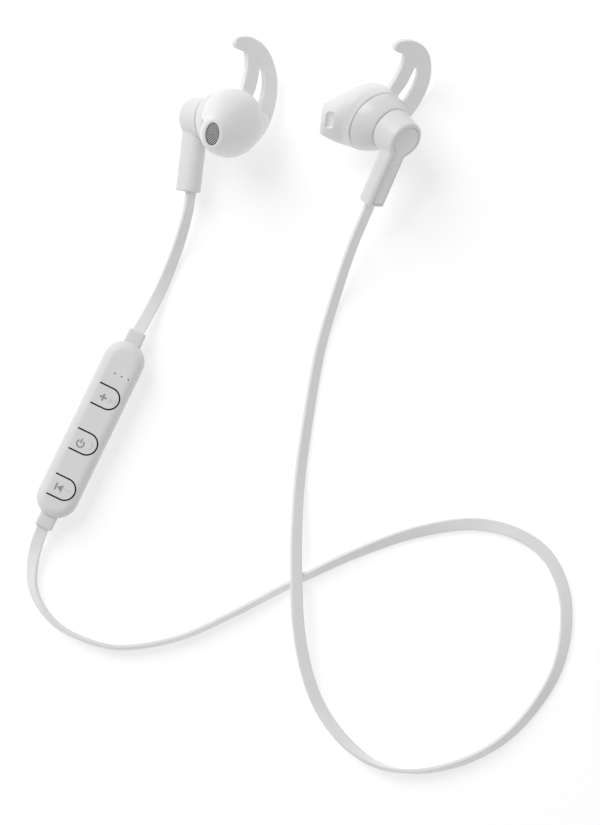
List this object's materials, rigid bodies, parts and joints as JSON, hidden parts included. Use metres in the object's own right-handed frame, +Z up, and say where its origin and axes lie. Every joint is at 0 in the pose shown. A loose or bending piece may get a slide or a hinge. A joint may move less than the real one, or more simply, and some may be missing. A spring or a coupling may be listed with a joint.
{
  "type": "wireless earphones",
  "caption": "Wireless sport earphones: finned silicone ear tips on stemmed buds, a slim control box with pressed keys, and flat cables.",
  "frame": {"origin": "bottom centre of the two buds and the control box together, on the surface they lie on", "axes": "+Z up from the surface; +Y from the cable loop towards the buds; +X towards the left bud"},
  "size_m": [0.1482, 0.2001, 0.0277],
  "materials": {
    "white_plastic": "smooth satin white moulding",
    "satin_plastic": "fine matt white moulding",
    "silicone": "soft, slightly translucent white silicone",
    "cable_rubber": "matt white elastomer",
    "port_rubber": "matt white elastomer",
    "key_rubber": "matt black rubber sheet",
    "woven_mesh": "fine woven wire cloth",
    "black_plastic": "matt black moulding",
    "steel": "plain steel",
    "tin_plate": "tinned sheet",
    "film": "thin amber film",
    "felt": "grey felt",
    "board": "green solder mask",
    "foil": "foil pouch"
  },
  "bodies": {
    "root": {"left_housing": "white_plastic", "left_back_cover": "white_plastic", "left_front_shell": "white_plastic", "left_nozzle_mesh": "woven_mesh", "left_driver_frame": "black_plastic", "left_driver_magnet": "steel", "left_driver_diaphragm": "film", "left_damping_pad": "felt", "left_cable_grommet": "cable_rubber", "right_housing": "white_plastic", "right_back_cover": "white_plastic", "right_front_shell": "white_plastic", "right_nozzle_mesh": "woven_mesh", "right_driver_frame": "black_plastic", "right_driver_magnet": "steel", "right_driver_diaphragm": "film", "right_damping_pad": "felt", "right_cable_grommet": "cable_rubber", "front_cover": "satin_plastic", "rear_cover": "satin_plastic", "volume_up_switch": "tin_plate", "power_switch": "tin_plate", "volume_down_switch": "tin_plate", "key_membrane": "key_rubber", "circuit_board": "board", "bluetooth_module": "tin_plate", "microphone": "tin_plate", "battery": "foil", "usb_connector": "steel", "upper_collar": "cable_rubber", "lower_collar": "cable_rubber", "right_cable": "cable_rubber", "neck_cable": "cable_rubber"},
    "left_tip": {"left_ear_tip": "silicone"},
    "right_tip": {"right_ear_tip": "silicone"},
    "port_flap": {"usb_port_cover": "port_rubber"},
    "volume_up_key": {"volume_up_button": "satin_plastic"},
    "volume_up_pin": {"volume_up_plunger": "black_plastic"},
    "power_key": {"power_button": "satin_plastic"},
    "power_pin": {"power_plunger": "black_plastic"},
    "volume_down_key": {"volume_down_button": "satin_plastic"},
    "volume_down_pin": {"volume_down_plunger": "black_plastic"}
  },
  "joints": [
    {"name": "left_tip_pull", "type": "slide", "parent": "root", "child": "left_tip", "axis": [-0.9923, 0.1226, 0.0156], "range_m": [0, 0.011]},
    {"name": "right_tip_pull", "type": "slide", "parent": "root", "child": "right_tip", "axis": [-0.0707, -0.2379, 0.9687], "range_m": [0, 0.011]},
    {"name": "port_flap_swing", "type": "hinge", "parent": "root", "child": "port_flap", "pos_m": [-0.04217, -0.05999, 0.00375], "axis": [0, 0, -1], "range_deg": [0, 100], "stiffness_Nm_per_rad": 0.0002},
    {"name": "volume_up_press", "type": "hinge", "parent": "root", "child": "volume_up_key", "pos_m": [-0.03724, -0.02948, 0.0077], "axis": [0.4368, 0.8996, 0], "range_deg": [0, 4], "stiffness_Nm_per_rad": 0.005},
    {"name": "volume_up_pin_travel", "type": "slide", "parent": "root", "child": "volume_up_pin", "axis": [0, 0, -1], "range_m": [0, 0.0003], "stiffness_N_per_m": 0.2},
    {"name": "power_press", "type": "hinge", "parent": "root", "child": "power_key", "pos_m": [-0.0432, -0.04176, 0.0077], "axis": [0.4368, 0.8996, 0], "range_deg": [0, 4], "stiffness_Nm_per_rad": 0.005},
    {"name": "power_pin_travel", "type": "slide", "parent": "root", "child": "power_pin", "axis": [0, 0, -1], "range_m": [0, 0.0003], "stiffness_N_per_m": 0.2},
    {"name": "volume_down_press", "type": "hinge", "parent": "root", "child": "volume_down_key", "pos_m": [-0.04917, -0.05403, 0.0077], "axis": [0.4368, 0.8996, 0], "range_deg": [0, 4], "stiffness_Nm_per_rad": 0.005},
    {"name": "volume_down_pin_travel", "type": "slide", "parent": "root", "child": "volume_down_pin", "axis": [0, 0, -1], "range_m": [0, 0.0003], "stiffness_N_per_m": 0.2}
  ],
  "couplings": [
    {"joint": "volume_up_pin_travel", "follows": "volume_up_press", "m_per_rad": 0.004},
    {"joint": "power_pin_travel", "follows": "power_press", "m_per_rad": 0.004},
    {"joint": "volume_down_pin_travel", "follows": "volume_down_press", "m_per_rad": 0.004}
  ]
}
